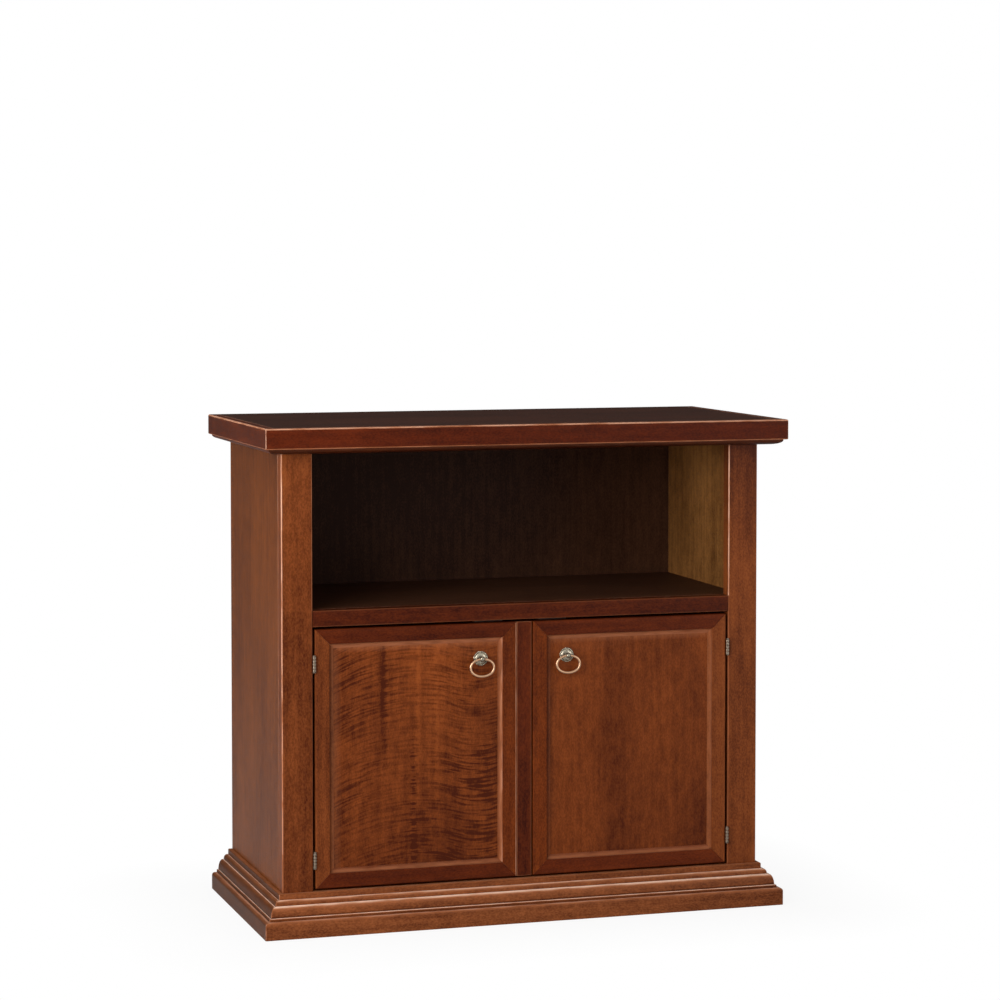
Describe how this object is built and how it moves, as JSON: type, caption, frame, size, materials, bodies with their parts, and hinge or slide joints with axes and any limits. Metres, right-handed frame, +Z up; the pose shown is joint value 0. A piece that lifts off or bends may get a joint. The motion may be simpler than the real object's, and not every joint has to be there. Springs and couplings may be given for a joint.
{
  "type": "tv cabinet",
  "caption": "Low stained walnut cabinet with an overhanging moulded top, an open niche, framed doors with hanging ring pulls and a moulded plinth.",
  "frame": {"origin": "on the floor under the middle of the top, at the middle of the whole width and depth", "axes": "+X to the right seen from the front, +Y to the back, +Z up"},
  "size_m": [0.87, 0.43, 0.8],
  "materials": {
    "stained_walnut": "satin lacquer over walnut stain",
    "side_veneer": "satin lacquer over stained veneer",
    "top_veneer": "satin lacquer over dark stained veneer",
    "door_frame_walnut": "satin lacquer over walnut stain",
    "door_panel_veneer": "satin lacquer over figured veneer",
    "inside_walnut": "thin matt stain",
    "back_board": "thin matt stain",
    "antique_brass": "antique brass, rubbed bright",
    "hinge_bronze": "aged bronze",
    "zinc_steel": "zinc plated",
    "catch_plastic": "brown moulded plastic"
  },
  "bodies": {
    "carcass": {"top_board": "top_veneer", "top_lipping_front": "stained_walnut", "top_lipping_left": "stained_walnut", "top_lipping_right": "stained_walnut", "cornice_front": "stained_walnut", "cornice_left": "stained_walnut", "cornice_right": "stained_walnut", "face_stile_left": "stained_walnut", "face_stile_right": "stained_walnut", "shelf_front_edge": "stained_walnut", "bottom_rail": "stained_walnut", "plinth_front": "stained_walnut", "plinth_left": "stained_walnut", "plinth_right": "stained_walnut", "side_panel_left": "side_veneer", "side_panel_right": "side_veneer", "cornice_back": "inside_walnut", "shelf_board": "inside_walnut", "bottom_board": "inside_walnut", "base_rail_back": "inside_walnut", "shelf_cleat_left": "inside_walnut", "shelf_cleat_right": "inside_walnut", "bottom_cleat_left": "inside_walnut", "bottom_cleat_right": "inside_walnut", "back_panel": "back_board", "left_magnet_catch": "catch_plastic", "left_upper_hinge_frame_leaf": "hinge_bronze", "left_upper_hinge_pin": "hinge_bronze", "left_lower_hinge_frame_leaf": "hinge_bronze", "left_lower_hinge_pin": "hinge_bronze", "right_magnet_catch": "catch_plastic", "right_upper_hinge_frame_leaf": "hinge_bronze", "right_upper_hinge_pin": "hinge_bronze", "right_lower_hinge_frame_leaf": "hinge_bronze", "right_lower_hinge_pin": "hinge_bronze"},
    "left_door": {"left_door_hinge_stile": "door_frame_walnut", "left_door_meeting_stile": "door_frame_walnut", "left_door_top_rail": "door_frame_walnut", "left_door_bottom_rail": "door_frame_walnut", "left_door_panel": "door_panel_veneer", "left_door_astragal": "door_frame_walnut", "left_upper_hinge_door_leaf": "hinge_bronze", "left_lower_hinge_door_leaf": "hinge_bronze", "left_pull_rosette": "antique_brass", "left_pull_post": "antique_brass", "left_pull_nut": "zinc_steel", "left_strike_plate": "zinc_steel"},
    "right_door": {"right_door_hinge_stile": "door_frame_walnut", "right_door_meeting_stile": "door_frame_walnut", "right_door_top_rail": "door_frame_walnut", "right_door_bottom_rail": "door_frame_walnut", "right_door_panel": "door_panel_veneer", "right_upper_hinge_door_leaf": "hinge_bronze", "right_lower_hinge_door_leaf": "hinge_bronze", "right_pull_rosette": "antique_brass", "right_pull_post": "antique_brass", "right_pull_nut": "zinc_steel", "right_strike_plate": "zinc_steel"},
    "left_ring": {"left_ring": "antique_brass"},
    "right_ring": {"right_ring": "antique_brass"}
  },
  "joints": [
    {"name": "left_door_swing", "type": "hinge", "parent": "carcass", "child": "left_door", "pos_m": [-0.348, -0.16962, 0.069], "axis": [0, 0, -1], "range_deg": [0, 180]},
    {"name": "right_door_swing", "type": "hinge", "parent": "carcass", "child": "right_door", "pos_m": [0.348, -0.16962, 0.069], "axis": [0, 0, 1], "range_deg": [0, 180]},
    {"name": "left_ring_swing", "type": "hinge", "parent": "left_door", "child": "left_ring", "pos_m": [-0.0725, -0.1705, 0.423], "axis": [-1, 0, 0], "range_deg": [-15, 180]},
    {"name": "right_ring_swing", "type": "hinge", "parent": "right_door", "child": "right_ring", "pos_m": [0.0725, -0.1705, 0.423], "axis": [-1, 0, 0], "range_deg": [-15, 180]}
  ]
}
